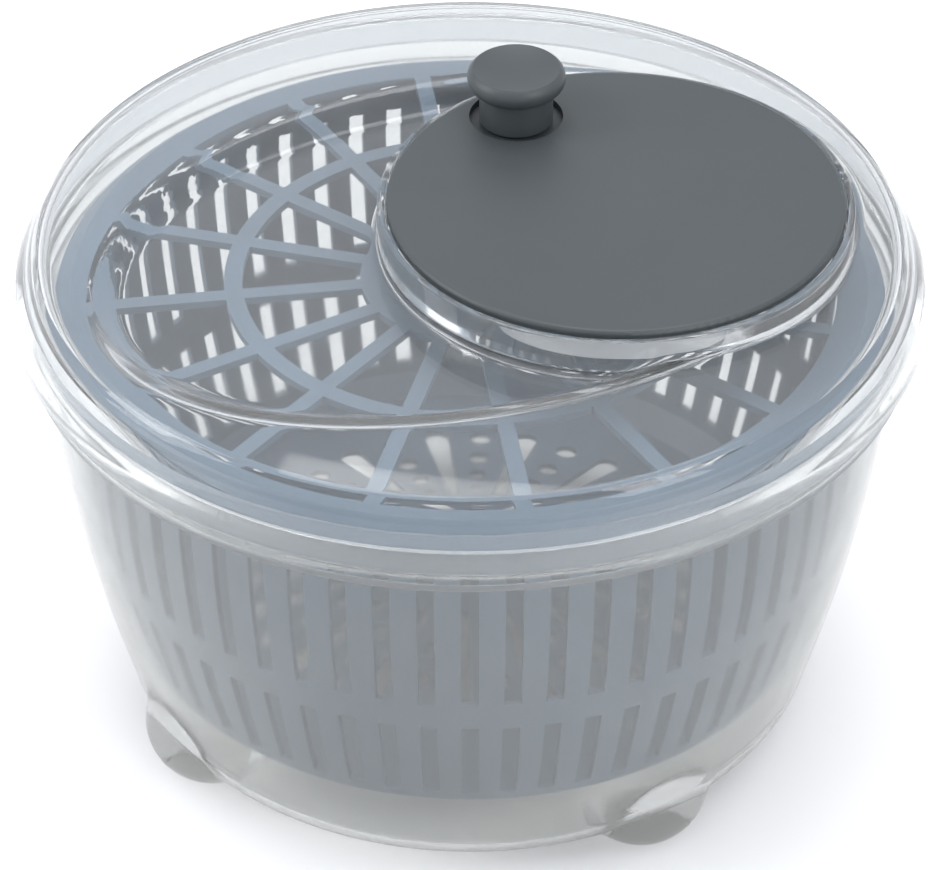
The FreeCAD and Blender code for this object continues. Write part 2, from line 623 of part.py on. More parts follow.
def make_disc():
    """Crank disc with a hub, screw posts for the ring gear, and the knob's recess near its edge."""
    edge = "disc_edge_round"
    plate = lathe("disc_plate", [
        ("screw_radius + fit_gap", HUB_LOW), ("hub_radius", HUB_LOW),
        ("hub_radius", f"{DISC_UNDER} - shoulder_hub_drop"),
        ("shoulder_hub_radius", f"{DISC_UNDER} - shoulder_hub_drop"),
        ("shoulder_hub_radius", DISC_UNDER), ("disc_radius", DISC_UNDER),
        ("disc_radius", f"{DISC_TOP} - {edge}"),
        (f"disc_radius - {edge}", DISC_TOP,
         (f"disc_radius - {edge} * 0.293", f"{DISC_TOP} - {edge} * 0.293")),
        ("0", DISC_TOP), ("0", f"{HUB_LOW} + hub_screw_length"),
        ("screw_radius + fit_gap", f"{HUB_LOW} + hub_screw_length")], GEAR_CENTRES)
    posts = ring_of(lambda index, x, y: cylinder(f"post_{index}", "post_radius", RING_TOP,
                                                 f"({DISC_UNDER} + 0.5)", x, y),
                    "ring_screw_count", RING_SCREW_CIRCLE, "(knob_angle + 45)", GEAR_CENTRES)
    holes = ring_of(lambda index, x, y: cylinder(f"post_hole_{index}", "ring_screw_radius + fit_gap",
                                                 RING_LOW, RING_SCREW_TOP, x, y),
                    "ring_screw_count", RING_SCREW_CIRCLE, "(knob_angle + 45)", GEAR_CENTRES)
    cup = cylinder("knob_cup", "recess_radius + 1.2", CUP_LOW, f"({DISC_TOP} - 1)", KNOB_X, KNOB_Y)
    recess = cylinder("knob_recess", "recess_radius", RECESS_FLOOR, f"({DISC_TOP} + 1)", KNOB_X, KNOB_Y)
    seat = cylinder("spindle_hole", "spindle_radius + fit_gap", f"({CUP_LOW} - 1)",
                    f"({RECESS_FLOOR} + 1)", KNOB_X, KNOB_Y)
    sink = cylinder("spindle_sink", "spindle_head_radius + fit_gap", f"({CUP_LOW} - 1)",
                    f"({CUP_LOW} + spindle_head_height)", KNOB_X, KNOB_Y)
    return cut("crank_disc", fuse("disc_blank", plate, cup, *posts), recess, seat, sink, *holes)


def make_hub_fixings():
    """Washer and screw that keep the disc's hub in the lid."""
    washer = tube("hub_washer", "screw_radius + fit_gap", "washer_radius",
                  f"({HUB_LOW} - washer_thickness)", HUB_LOW, GEAR_CENTRES)
    screw = make_screw("hub_screw", "screw_radius", "screw_head_radius", "screw_head_height",
                       "hub_screw_length + washer_thickness - axial_play", GEAR_CENTRES, "0",
                       f"({HUB_LOW} - washer_thickness)")
    return [washer, screw]


def make_screw(name, radius, head_radius, head_height, length, x, y, z):
    """Pan-head screw pointing up; z is the seat of its head."""
    body = lathe(name, [("0", f"(0 - 1) * {head_height}"), (f"{head_radius} * 0.8", f"(0 - 1) * {head_height}"),
                        (head_radius, f"(0 - 0.6) * {head_height}"), (head_radius, "0"),
                        (radius, "0"), (radius, f"{length} - {radius} / 2"), (f"{radius} / 2", length),
                        ("0", length)], x, y, z)
    return body


# ---- gears ----------------------------------------------------------------------------------

def tooth_wire(teeth, module, tip, root, mid_width, first_angle, height):
    """Closed outline of straight-flanked teeth; mid_width is each tooth's width at the pitch circle."""
    pitch = module * teeth / 2
    slope = math.tan(math.radians(20.0))
    points = []
    for tooth in range(teeth):
        centre = first_angle + 2 * math.pi * tooth / teeth
        for radius, side in ((root, -1), (tip, -1), (tip, 1), (root, 1)):
            outward = 1 if tip > root else -1
            half = mid_width / 2 - outward * (radius - pitch) * slope
            angle = centre + side * half / radius
            points.append(Vector(radius * math.cos(angle), radius * math.sin(angle), height))
    return Part.makePolygon(points + points[:1])


def make_gears():
    """Ring gear under the disc and the pinion on the basket's axis, in mesh at rest."""
    module = size("gear_module")
    ring_teeth, pinion_teeth = int(size("ring_teeth")), int(size("pinion_teeth"))
    centres = size(GEAR_CENTRES)
    low, depth = size(RING_LOW), size("gear_depth")
    width = math.pi * module / 2
    backlash = 0.16 * module
    # The mesh lies on the -X side; a pinion tooth points there and sits in a ring gap.
    pitch = module * ring_teeth / 2
    inner = tooth_wire(ring_teeth, module, pitch - module, size(RING_ROOT), width - backlash,
                       math.pi + math.pi / ring_teeth, low)
    rim = Part.Wire(Part.makeCircle(size(f"{RING_ROOT} + ring_rim"), Vector(0, 0, low)))
    ring = Part.makeFace([rim, inner], "Part::FaceMakerBullseye").extrude(Vector(0, 0, depth))
    screw = Part.makeCylinder(size("ring_screw_radius + fit_gap"), depth + 2, Vector(0, 0, low - 1))
    head = Part.makeCylinder(size("ring_screw_head_radius + fit_gap"), size("screw_head_height"),
                             Vector(0, 0, low))
    circle = size(RING_SCREW_CIRCLE)
    for index in range(int(size("ring_screw_count"))):
        angle = math.radians(size("knob_angle") + 45 + index * 360 / size("ring_screw_count"))
        spot = Vector(circle * math.cos(angle), circle * math.sin(angle), 0)
        for tool in (screw, head):
            moved = tool.copy()
            moved.translate(spot)
            ring = ring.cut(moved)
    ring.translate(Vector(centres, 0, 0))
    pinion_low = size(PINION_LOW)
    pinion_pitch = module * pinion_teeth / 2
    teeth = tooth_wire(pinion_teeth, module, pinion_pitch + module, pinion_pitch - 1.25 * module,
                       width - backlash, math.pi, pinion_low)
    bore = Part.Wire(Part.makeCircle(size("shaft_radius + fit_gap"), Vector(0, 0, pinion_low)))
    pinion = Part.makeFace([teeth, bore], "Part::FaceMakerBullseye").extrude(Vector(0, 0, depth))
    return [shape_node("ring_gear", ring), shape_node("pinion", pinion)]


def make_ring_screws():
    """Countersunk-in screws that hold the ring gear to the disc's posts, as one node."""
    screws = ring_of(lambda index, x, y: make_screw(f"ring_screw_{index}", "ring_screw_radius",
                                                    "ring_screw_head_radius", "screw_head_height * 0.9",
                                                    "ring_screw_length - 0.5", x, y,
                                                    f"({RING_LOW} + screw_head_height)"),
                     "ring_screw_count", RING_SCREW_CIRCLE, "(knob_angle + 45)", GEAR_CENTRES)
    group = doc.addObject("Part::Compound", "ring_gear_screws")
    group.Links = screws
    return group


# ---- pinion's shaft and the dog that turns the basket ---------------------------------------

def make_drive():
    """Steel shaft through the pinion, and the six-sided dog screwed to its lower end."""
    top = f"({PINION_LOW} + gear_depth)"
    bore = "screw_radius + fit_gap"
    shaft = lathe("drive_shaft", [(bore, SHAFT_LOW), ("shaft_radius", SHAFT_LOW), ("shaft_radius", top),
                                  ("0", top), ("0", f"{DOG_LOW} + screw_head_height + dog_screw_length"),
                                  (bore, f"{DOG_LOW} + screw_head_height + dog_screw_length")])
    blank = doc.addObject("Part::Prism", "dog_blank")
    blank.Polygon = 6
    bind(blank, "Circumradius", "dog_across")
    bind(blank, "Height", "dog_length")
    place(blank, z=DOG_LOW)
    socket = cylinder("dog_socket", "shaft_radius + fit_gap", SHAFT_LOW, f"({DOG_TOP} + 1)")
    hole = cylinder("dog_hole", bore, f"({DOG_LOW} - 1)", DOG_TOP)
    sink = cylinder("dog_sink", "screw_head_radius + fit_gap", f"({DOG_LOW} - 1)",
                    f"({DOG_LOW} + screw_head_height)")
    dog = cut("drive_dog", blank, socket, hole, sink)
    screw = make_screw("dog_screw", "screw_radius", "screw_head_radius", "screw_head_height * 0.9",
                       "dog_screw_length - 0.5", "0", "0", f"({DOG_LOW} + screw_head_height)")
    return [shaft, dog, screw]


# ---- knob -----------------------------------------------------------------------------------

def make_knob():
    """Mushroom knob with a dished top, free to turn on its spindle."""
    bore = "spindle_radius + running_gap"
    barb_low = f"({CUP_LOW} + recess_floor + spindle_height - spindle_barb_height - {KNOB_LOW})"
    room = "spindle_radius + spindle_barb + axial_play"
    cap = "knob_stem_height"
    rise = "knob_cap_height"
    knob = lathe("knob", [
        (bore, "0"), ("knob_stem_radius - 0.8", "0"), ("knob_stem_radius", "0.8"),
        ("knob_stem_radius", f"{cap} - 1"), ("knob_cap_radius - 1.2", cap),
        ("knob_cap_radius - 1.6", f"{cap} + {rise}",
         ("knob_cap_radius", f"{cap} + {rise} * 0.42")),
        ("0", f"{cap} + {rise} - knob_dish",
         ("(knob_cap_radius - 1.6) / 2", f"{cap} + {rise} - knob_dish * 0.78")),
        ("0", f"{barb_low} + spindle_barb_height + axial_play"),
        (room, f"{barb_low} + spindle_barb_height + axial_play"), (room, f"{barb_low} - axial_play"),
        (bore, f"{barb_low} - axial_play")], KNOB_X, KNOB_Y, KNOB_LOW)
    top = "recess_floor + spindle_height"
    spindle = lathe("knob_spindle", [
        ("0", "0"), ("spindle_head_radius", "0"), ("spindle_head_radius", "spindle_head_height"),
        ("spindle_radius", "spindle_head_height"), ("spindle_radius", f"{top} - spindle_barb_height"),
        ("spindle_radius + spindle_barb", f"{top} - spindle_barb_height"),
        ("spindle_radius", top), ("0", top)], KNOB_X, KNOB_Y, CUP_LOW)
    return [knob, spindle]


# ---- assembly -------------------------------------------------------------------------------

def main():
    pieces = [make_bowl(), make_pivot_pin(), make_basket(), make_pivot_bush(), *make_cover(),
              make_lid(), *make_lid_bushes(), make_disc(), *make_hub_fixings(), *make_gears(), make_ring_screws(),
              *make_drive(), *make_knob()]
    doc.recompute()
    for item in doc.Objects:
        if {"Invalid", "Error"} & set(item.State):
            raise RuntimeError(f"{item.Label} failed: {item.State}")
    os.makedirs("parts", exist_ok=True)
    for piece in pieces:
        shape = piece.Shape
        if shape.isNull() or not shape.isValid() or not shape.Solids:
            raise RuntimeError(f"{piece.Label} has no valid solid")
        shape.exportStep(f"parts/{piece.Label}.step")
        box = shape.BoundBox
        print(f"{piece.Label:18s} solids {len(shape.Solids)} volume {shape.Volume:11.1f} "
              f"x {box.XMin:7.1f} {box.XMax:7.1f} y {box.YMin:7.1f} {box.YMax:7.1f} "
              f"z {box.ZMin:7.1f} {box.ZMax:7.1f}")


main()
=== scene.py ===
import json
import math

import bpy
import numpy as np
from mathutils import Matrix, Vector


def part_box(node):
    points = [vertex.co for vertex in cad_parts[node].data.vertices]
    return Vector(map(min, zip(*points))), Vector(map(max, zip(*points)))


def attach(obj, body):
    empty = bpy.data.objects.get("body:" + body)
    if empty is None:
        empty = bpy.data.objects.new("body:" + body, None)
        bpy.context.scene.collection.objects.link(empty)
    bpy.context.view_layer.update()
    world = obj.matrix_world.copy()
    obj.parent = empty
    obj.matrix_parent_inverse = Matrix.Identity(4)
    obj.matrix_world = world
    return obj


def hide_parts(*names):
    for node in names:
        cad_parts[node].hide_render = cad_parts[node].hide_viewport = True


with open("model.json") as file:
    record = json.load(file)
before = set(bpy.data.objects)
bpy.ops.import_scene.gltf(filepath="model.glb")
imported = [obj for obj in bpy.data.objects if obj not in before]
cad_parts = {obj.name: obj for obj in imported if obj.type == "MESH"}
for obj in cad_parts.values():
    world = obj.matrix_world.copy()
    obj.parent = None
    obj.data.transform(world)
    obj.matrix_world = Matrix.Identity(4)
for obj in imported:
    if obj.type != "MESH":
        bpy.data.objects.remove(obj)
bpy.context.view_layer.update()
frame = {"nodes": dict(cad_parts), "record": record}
MM = 0.001


def node_box(node):
    """A CAD node's lowest and highest corners, as arrays."""
    low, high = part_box(node)
    return np.array(low), np.array(high)


# ---- sizes read from the frame, and fixed sizes given here ----------------------------------

LID_LOW, LID_HIGH = node_box("lid")
BOWL_LOW, BOWL_HIGH = node_box("outer_bowl")
DISC_LOW, DISC_HIGH = node_box("crank_disc")
BUSH_LOW, BUSH_HIGH = node_box("hub_bush")
SHAFT_LOW, SHAFT_HIGH = node_box("shaft_bush")
WASHER_LOW, WASHER_HIGH = node_box("thrust_washer")
COVER_LOW, COVER_HIGH = node_box("basket_cover")
PIN_LOW, PIN_HIGH = node_box("pivot_pin")
KNOB_LOW, KNOB_HIGH = node_box("knob")
SPINDLE_LOW, SPINDLE_HIGH = node_box("knob_spindle")

LID_RADIUS = LID_HIGH[0]
LID_EDGE = LID_LOW[2]
LID_WALL = 2.0 * MM
FLOOR_UNDER = BUSH_LOW[2]
FLOOR_TOP = FLOOR_UNDER + LID_WALL
TURRET_TOP = LID_HIGH[2]
DISC_X = (BUSH_LOW[0] + BUSH_HIGH[0]) / 2
DISC_RADIUS = DISC_HIGH[0] - DISC_X
WELL_RADIUS = DISC_RADIUS + 0.5 * MM
TURRET_RADIUS = WELL_RADIUS + LID_WALL
HUB_BORE = BUSH_HIGH[0] - DISC_X + 0.02 * MM
BOSS_RADIUS = 9.5 * MM
BOSS_TOP = WASHER_LOW[2]
SHAFT_BORE = 4.67 * MM
SHOULDER_RADIUS = 118.2 * MM
SHOULDER_TOP = LID_EDGE + 17.9 * MM
CROWN_TOP = LID_EDGE + 24.0 * MM
RIB_RADIUS = 120.0 * MM
RIB_WALL = 2.0 * MM
RIB_LOW = BOWL_HIGH[2] + 0.3 * MM
HOLLOW = {"x": 2.0 * MM, "y": -7.5 * MM, "long": 108.0 * MM, "short": 75.0 * MM,
          "turn": math.radians(23.4), "slope": 8.5 * MM}


# ---- small tools ----------------------------------------------------------------------------

def smooth(value):
    """Smoothstep of a value clipped to 0..1."""
    value = np.clip(value, 0.0, 1.0)
    return value * value * (3.0 - 2.0 * value)


def mesh_object(name, vertices, faces, material, body, smooth_faces=True):
    """Mesh that rides on a body and takes its finish from a slot."""
    mesh = bpy.data.meshes.new(name)
    mesh.from_pydata([tuple(v) for v in vertices], [], faces)
    mesh.validate()
    mesh.polygons.foreach_set("use_smooth", [smooth_faces] * len(mesh.polygons))
    mesh.materials.append(material)
    item = bpy.data.objects.new(name, mesh)
    bpy.context.scene.collection.objects.link(item)
    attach(item, body)
    return item


def ring_stack(name, rings, material, body, ends_meet=True):
    """Closed skin through rings of equal point counts; the last ring joins the first if ends_meet."""
    count = len(rings[0])
    vertices = np.concatenate(rings)
    levels = len(rings)
    faces = []
    for level in range(levels if ends_meet else levels - 1):
        here, above = level * count, (level + 1) % levels * count
        for index in range(count):
            after = (index + 1) % count
            faces.append((here + index, here + after, above + after, above + index))
    if not ends_meet:
        faces.append(tuple(range(count))[::-1])
        faces.append(tuple(range((levels - 1) * count, levels * count)))
    return mesh_object(name, vertices, faces, material, body)


def circle_points(radius, height, count, centre=(0.0, 0.0)):
    """Ring of points; radius and height may be arrays of count values."""
    angle = np.linspace(0.0, 2 * math.pi, count, endpoint=False)
    return np.stack([centre[0] + radius * np.cos(angle), centre[1] + radius * np.sin(angle),
                     height + 0.0 * angle], axis=1)


def arc(centre, radius, start, stop, steps):
    """Points (r, z) on a circular arc, angles in degrees."""
    angles = np.radians(np.linspace(start, stop, steps))
    return [(centre[0] + radius * math.cos(a), centre[1] + radius * math.sin(a)) for a in angles]


def sharpen(item, degrees=32.0):
    """Keep edges steeper than this crisp in a smooth-shaded mesh."""
    mesh = item.data
    mesh.update()
    normals = {}
    for polygon in mesh.polygons:
        for key in polygon.edge_keys:
            normals.setdefault(key, []).append(polygon.normal)
    limit = math.radians(degrees)
    for edge in mesh.edges:
        pair = normals.get(tuple(sorted(edge.vertices)), [])
        edge.use_edge_sharp = len(pair) == 2 and pair[0].angle(pair[1], 0.0) > limit


# ---- materials ------------------------------------------------------------------------------

class Material:
    """A principled material with a few named links."""

    def __init__(self, name, color, roughness, **sockets):
        self.material = bpy.data.materials.new(name)
        self.material.use_nodes = True
        self.nodes = self.material.node_tree.nodes
        self.links = self.material.node_tree.links
        self.shader = self.nodes["Principled BSDF"]
        self.shader.inputs["Base Color"].default_value = (*color, 1.0)
        self.shader.inputs["Roughness"].default_value = roughness
        for socket, value in sockets.items():
            self.shader.inputs[socket.replace("_", " ")].default_value = value
        self.coordinates = self.nodes.new("ShaderNodeTexCoord")

    def noise(self, scale, detail=3.0, stretch=(1.0, 1.0, 1.0), roughness=0.55):
        """Noise over the object's own coordinates."""
        mapping = self.nodes.new("ShaderNodeMapping")
        mapping.inputs["Scale"].default_value = stretch
        self.links.new(self.coordinates.outputs["Object"], mapping.inputs["Vector"])
        texture = self.nodes.new("ShaderNodeTexNoise")
        texture.inputs["Scale"].default_value = scale
        texture.inputs["Detail"].default_value = detail
        texture.inputs["Roughness"].default_value = roughness
        self.links.new(mapping.outputs["Vector"], texture.inputs["Vector"])
        return texture.outputs["Fac"]

    def ramp(self, value, low, high):
        """Map 0..1 to a range."""
        node = self.nodes.new("ShaderNodeMapRange")
        node.inputs["From Min"].default_value = 0.3
        node.inputs["From Max"].default_value = 0.7
        node.inputs["To Min"].default_value = low
        node.inputs["To Max"].default_value = high
        self.links.new(value, node.inputs["Value"])
        return node.outputs["Result"]

    def vary_color(self, value, first, second):
        """Base colour between two colours."""
        mix = self.nodes.new("ShaderNodeMix")
        mix.data_type = "RGBA"
        mix.inputs["A"].default_value = (*first, 1.0)
        mix.inputs["B"].default_value = (*second, 1.0)
        self.links.new(self.ramp(value, 0.0, 1.0), mix.inputs["Factor"])
        self.links.new(mix.outputs["Result"], self.shader.inputs["Base Color"])

    def vary_roughness(self, value, low, high):
        self.links.new(self.ramp(value, low, high), self.shader.inputs["Roughness"])

    def bump(self, *layers):
        """Stack of bump layers: (value, strength, distance)."""
        before = None
        for value, strength, distance in layers:
            node = self.nodes.new("ShaderNodeBump")
            node.inputs["Strength"].default_value = strength
            node.inputs["Distance"].default_value = distance
            self.links.new(value, node.inputs["Height"])
            if before is not None:
                self.links.new(before, node.inputs["Normal"])
            before = node.outputs["Normal"]
        self.links.new(before, self.shader.inputs["Normal"])


def clear_plastic():
    """Clear, glossy moulded lid plastic with slight waves, fine scuffs and a faint blue cast."""
    made = Material("clear_lid_plastic", (0.83, 0.845, 0.85), 0.03,
                    Transmission_Weight=0.95, IOR=1.4)
    made.vary_roughness(made.noise(38.0, 5.0), 0.02, 0.07)
    made.bump((made.noise(26.0, 1.0), 0.10, 0.0006))
    return made.material


def frosted_plastic():
    """Natural polypropylene: milky, lets light through but blurs what is far behind it."""
    made = Material("frosted_bowl_plastic", (0.80, 0.81, 0.80), 0.12,
                    Transmission_Weight=0.9, IOR=1.25)
    cloud = made.noise(18.0, 4.0)
    made.vary_color(cloud, (0.78, 0.79, 0.785), (0.82, 0.825, 0.81))
    made.vary_roughness(made.noise(60.0, 4.0), 0.09, 0.16)
    made.bump((made.noise(30.0, 2.0), 0.12, 0.0005))
    return made.material


def satin_plastic(name, color, roughness, grain, grain_strength=0.12, spread=0.12):
    """Opaque moulded plastic: fine spark-eroded grain, slow flow marks and slightly uneven colour."""
    made = Material(name, color, roughness, IOR=1.49)
    color = np.array(color)
    made.vary_color(made.noise(14.0, 5.0), tuple(color * (1 - spread)), tuple(color * (1 + spread)))
    made.vary_roughness(made.noise(45.0, 6.0), roughness - 0.06, roughness + 0.07)
    made.bump((made.noise(grain, 3.0), grain_strength, 0.0002), (made.noise(9.0, 2.0), 0.08, 0.0008))
    return made.material


def steel():
    """Bright plated steel with fine turned lines."""
    made = Material("plated_steel", (0.62, 0.62, 0.63), 0.28, Metallic=1.0)
    made.vary_roughness(made.noise(120.0, 4.0), 0.2, 0.36)
    made.bump((made.noise(700.0, 2.0, (1.0, 1.0, 12.0)), 0.1, 0.0001))
    return made.material


CLEAR = clear_plastic()
FROSTED = frosted_plastic()
BLUE_GREY = satin_plastic("blue_grey_basket_plastic", (0.082, 0.122, 0.168), 0.42, 1500.0)
DARK_GREY = satin_plastic("dark_grey_disc_plastic", (0.048, 0.057, 0.061), 0.42, 2200.0, 0.2, 0.06)
NATURAL = satin_plastic("natural_acetal", (0.66, 0.665, 0.69), 0.35, 1400.0, 0.1, 0.03)
STEEL = steel()
SLOT_MATERIALS = {"clear": CLEAR, "frosted_clear": FROSTED, "blue_grey": BLUE_GREY,
                  "dark_grey": DARK_GREY, "natural_white": NATURAL, "steel": STEEL}


def dress_cad_nodes():
    """Give every CAD node the detailed material of its slot."""
    slots = {entry["node"]: entry["material_slot"] for entry in frame["record"]["subparts"]}
    for node, item in frame["nodes"].items():
        material = SLOT_MATERIALS[slots[node]]
        for place in item.material_slots:
            place.material = material
        if not item.material_slots:
            item.data.materials.append(material)


# ---- lid ------------------------------------------------------------------------------------

def crown_height(radius):
    """Dome's top surface above a distance from the axis."""
    return CROWN_TOP - (CROWN_TOP - SHOULDER_TOP) * (radius / SHOULDER_RADIUS) ** 4


def hollow_depth(x, y, grow=0.0):
    """1 on the sunk oval floor, 0 on the dome, with a rounded bank between."""
    turn = HOLLOW["turn"]
    along = (x - HOLLOW["x"]) * math.cos(turn) + (y - HOLLOW["y"]) * math.sin(turn)
    across = -(x - HOLLOW["x"]) * math.sin(turn) + (y - HOLLOW["y"]) * math.cos(turn)
    scale = np.hypot(along / (HOLLOW["long"] + grow), across / (HOLLOW["short"] + grow))
    reach = np.hypot(along, across)
    inside = reach / np.maximum(scale, 1e-6) - reach
    return smooth(inside / HOLLOW["slope"])


def lid_surface(x, y, drop, grow):
    """Top surface lowered by drop; grow widens the hollow for the surface underneath."""
    radius = np.hypot(x, y)
    dome = crown_height(radius) - drop
    share = hollow_depth(x, y, grow)
    return dome + (FLOOR_TOP - drop - dome) * share


def sheet_rings(inner_radius, outer_radius, steps, count, drop, grow):
    """Rings from a circle round the disc's axis out to a circle round the lid's axis."""
    angle = np.linspace(0.0, 2 * math.pi, count, endpoint=False)
    start = np.stack([DISC_X + inner_radius * np.cos(angle), inner_radius * np.sin(angle)], axis=1)
    # The far end lies on the ray from the disc's axis, where it meets the lid's own circle.
    reach = -DISC_X * np.cos(angle) + np.sqrt(outer_radius ** 2 - (DISC_X * np.sin(angle)) ** 2)
    stop = np.stack([DISC_X + reach * np.cos(angle), reach * np.sin(angle)], axis=1)
    rings = []
    for share in np.linspace(0.0, 1.0, steps):
        place = start + (stop - start) * share
        height = lid_surface(place[:, 0], place[:, 1], drop, grow)
        rings.append(np.column_stack([place, height]))
    return rings


def lid_centred(radius, height, count):
    """Ring round the lid's axis whose points keep to rays from the disc's axis."""
    angle = np.linspace(0.0, 2 * math.pi, count, endpoint=False)
    reach = -DISC_X * np.cos(angle) + np.sqrt(radius ** 2 - (DISC_X * np.sin(angle)) ** 2)
    return np.stack([DISC_X + reach * np.cos(angle), reach * np.sin(angle),
                     np.full(count, height)], axis=1)


def disc_centred(radius, height, count):
    return circle_points(radius, height, count, (DISC_X, 0.0))


def make_lid():
    """Clear lid in one skin: turret, sunk floor, rounded ridge, shoulder, skirt and locating rib."""
    count = 360
    steps = 110
    foot = 1.6 * MM
    lip = 0.6 * MM
    rings = [disc_centred(BOSS_RADIUS, BOSS_TOP, count)]
    rings += [disc_centred(r, z, count) for r, z in (
        (BOSS_RADIUS, FLOOR_TOP + foot), (BOSS_RADIUS + foot * 0.3, FLOOR_TOP + foot * 0.3),
        (BOSS_RADIUS + foot, FLOOR_TOP), (WELL_RADIUS - foot, FLOOR_TOP),
        (WELL_RADIUS - foot * 0.3, FLOOR_TOP + foot * 0.3), (WELL_RADIUS, FLOOR_TOP + foot),
        (WELL_RADIUS, TURRET_TOP - lip), (WELL_RADIUS + lip * 0.3, TURRET_TOP - lip * 0.3),
        (WELL_RADIUS + lip, TURRET_TOP), (TURRET_RADIUS - lip, TURRET_TOP),
        (TURRET_RADIUS - lip * 0.3, TURRET_TOP - lip * 0.3), (TURRET_RADIUS, TURRET_TOP - lip))]
    # Turret's outer foot follows whatever surface it stands on.
    outside = sheet_rings(TURRET_RADIUS + foot, 116.0 * MM, steps, count, 0.0, 0.0)
    for spread, rise in ((0.0, 1.0), (0.13, 0.5), (0.5, 0.13)):
        ring = disc_centred(TURRET_RADIUS + foot * spread, 0.0, count)
        ring[:, 2] = outside[0][:, 2] + foot * rise
        rings.append(ring)
    rings += outside
    shoulder = [(117.4 * MM, SHOULDER_TOP + 0.25 * MM), (118.3 * MM, SHOULDER_TOP - 0.7 * MM),
                (119.0 * MM, SHOULDER_TOP - 2.2 * MM), (121.3 * MM, LID_EDGE + 12.2 * MM),
                (123.2 * MM, LID_EDGE + 8.3 * MM), (124.2 * MM, LID_EDGE + 6.4 * MM),
                (124.8 * MM, LID_EDGE + 5.2 * MM), (LID_RADIUS, LID_EDGE + 4.2 * MM),
                (LID_RADIUS, LID_EDGE + 0.7 * MM), (LID_RADIUS - 0.3 * MM, LID_EDGE + 0.2 * MM),
                (LID_RADIUS - 0.8 * MM, LID_EDGE), (LID_RADIUS - 1.5 * MM, LID_EDGE),
                (LID_RADIUS - LID_WALL, LID_EDGE + 0.5 * MM),
                (LID_RADIUS - LID_WALL, LID_EDGE + 4.4 * MM), (121.9 * MM, LID_EDGE + 6.8 * MM),
                (RIB_RADIUS + 0.4 * MM, LID_EDGE + 9.9 * MM), (RIB_RADIUS, LID_EDGE + 9.2 * MM),
                (RIB_RADIUS, RIB_LOW), (RIB_RADIUS - RIB_WALL, RIB_LOW),
                (RIB_RADIUS - RIB_WALL, LID_EDGE + 12.4 * MM), (117.4 * MM, LID_EDGE + 13.9 * MM),
                (116.2 * MM, SHOULDER_TOP - 2.2 * MM)]
    rings += [lid_centred(r, z, count) for r, z in shoulder]
    rings += sheet_rings(HUB_BORE, 114.6 * MM, steps, count, LID_WALL, LID_WALL)[::-1]
    rings.append(disc_centred(HUB_BORE, BOSS_TOP, count))
    lid = ring_stack("lid_shell", rings, CLEAR, "lid")
    return lid


def bore_for_shaft(lid):
    """Centre boss below the lid's floor, and the bore that the shaft's bush sits in."""
    boss = ring_stack("centre_boss_tool", [circle_points(SHAFT_HIGH[0], z, 96) for z in
                                           (SHAFT_LOW[2], FLOOR_UNDER + 1.0 * MM)],
                      CLEAR, "lid", ends_meet=False)
    bore = ring_stack("centre_bore_tool", [circle_points(SHAFT_BORE, z, 96) for z in
                                           (SHAFT_LOW[2] - MM, FLOOR_TOP + MM)],
                      CLEAR, "lid", ends_meet=False)
    for tool, kind in ((boss, "UNION"), (bore, "DIFFERENCE")):
        change = lid.modifiers.new(tool.name, "BOOLEAN")
        change.object = tool
        change.operation = kind
        change.solver = "EXACT"
    bpy.context.view_layer.update()
    shape = bpy.data.meshes.new_from_object(lid.evaluated_get(bpy.context.evaluated_depsgraph_get()))
    lid.modifiers.clear()
    lid.data = shape
    for tool in (boss, bore):
        bpy.data.objects.remove(tool)


# ---- bowl -----------------------------------------------------------------------------------

FOOT_CIRCLE = 86.5 * MM
FOOT_BALL = 18.5 * MM
FOOT_HEIGHT = 15.0 * MM
FOOT_TURN = math.radians(33.0)


def through(a, b, c, steps):
    """Points on the circular arc from a to c that passes b."""
    (ax, ay), (bx, by), (cx, cy) = a, b, c
    cross = 2 * (ax * (by - cy) + bx * (cy - ay) + cx * (ay - by))
    ux = ((ax * ax + ay * ay) * (by - cy) + (bx * bx + by * by) * (cy - ay)
          + (cx * cx + cy * cy) * (ay - by)) / cross
    uy = ((ax * ax + ay * ay) * (cx - bx) + (bx * bx + by * by) * (ax - cx)
          + (cx * cx + cy * cy) * (bx - ax)) / cross
    radius = math.hypot(ax - ux, ay - uy)
    start, middle, stop = (math.atan2(y - uy, x - ux) for x, y in (a, b, c))
    start, middle = (t - stop for t in (start, middle))
    start = math.atan2(math.sin(start), math.cos(start))
    return [(ux + radius * math.cos(stop + start * (1 - s)), uy + radius * math.sin(stop + start * (1 - s)))
            for s in np.linspace(0, 1, steps)]


def bulge_feet(rings):
    """Push the outer skin out to ball-shaped feet, softly at their edges, and flat on the table."""
    points = np.stack(rings)
    along = np.gradient(points, axis=0)
    around = np.roll(points, -1, axis=1) - np.roll(points, 1, axis=1)
    normal = np.cross(around, along)
    normal /= np.maximum(np.linalg.norm(normal, axis=2, keepdims=True), 1e-12)
    blend = 1.2 * MM
    push = np.zeros(points.shape[:2])
    for index in range(4):
        turn = FOOT_TURN + index * math.pi / 2
        centre = np.array([FOOT_CIRCLE * math.cos(turn), FOOT_CIRCLE * math.sin(turn), FOOT_HEIGHT])
        offset = centre - points
        ahead = (offset * normal).sum(axis=2)
        miss = (offset ** 2).sum(axis=2) - ahead ** 2
        depth = FOOT_BALL ** 2 - miss
        reach = np.where(depth > 0, ahead + np.sqrt(np.maximum(depth, 0.0)), -0.01)
        soft = blend * np.logaddexp(0.0, np.clip(reach / blend, -40, 40))
        push = np.maximum(push, np.where(reach > -6 * blend, soft, 0.0))
    points = points + normal * push[:, :, None]
    points[:, :, 2] = np.maximum(points[:, :, 2], 0.0)
    return list(points)


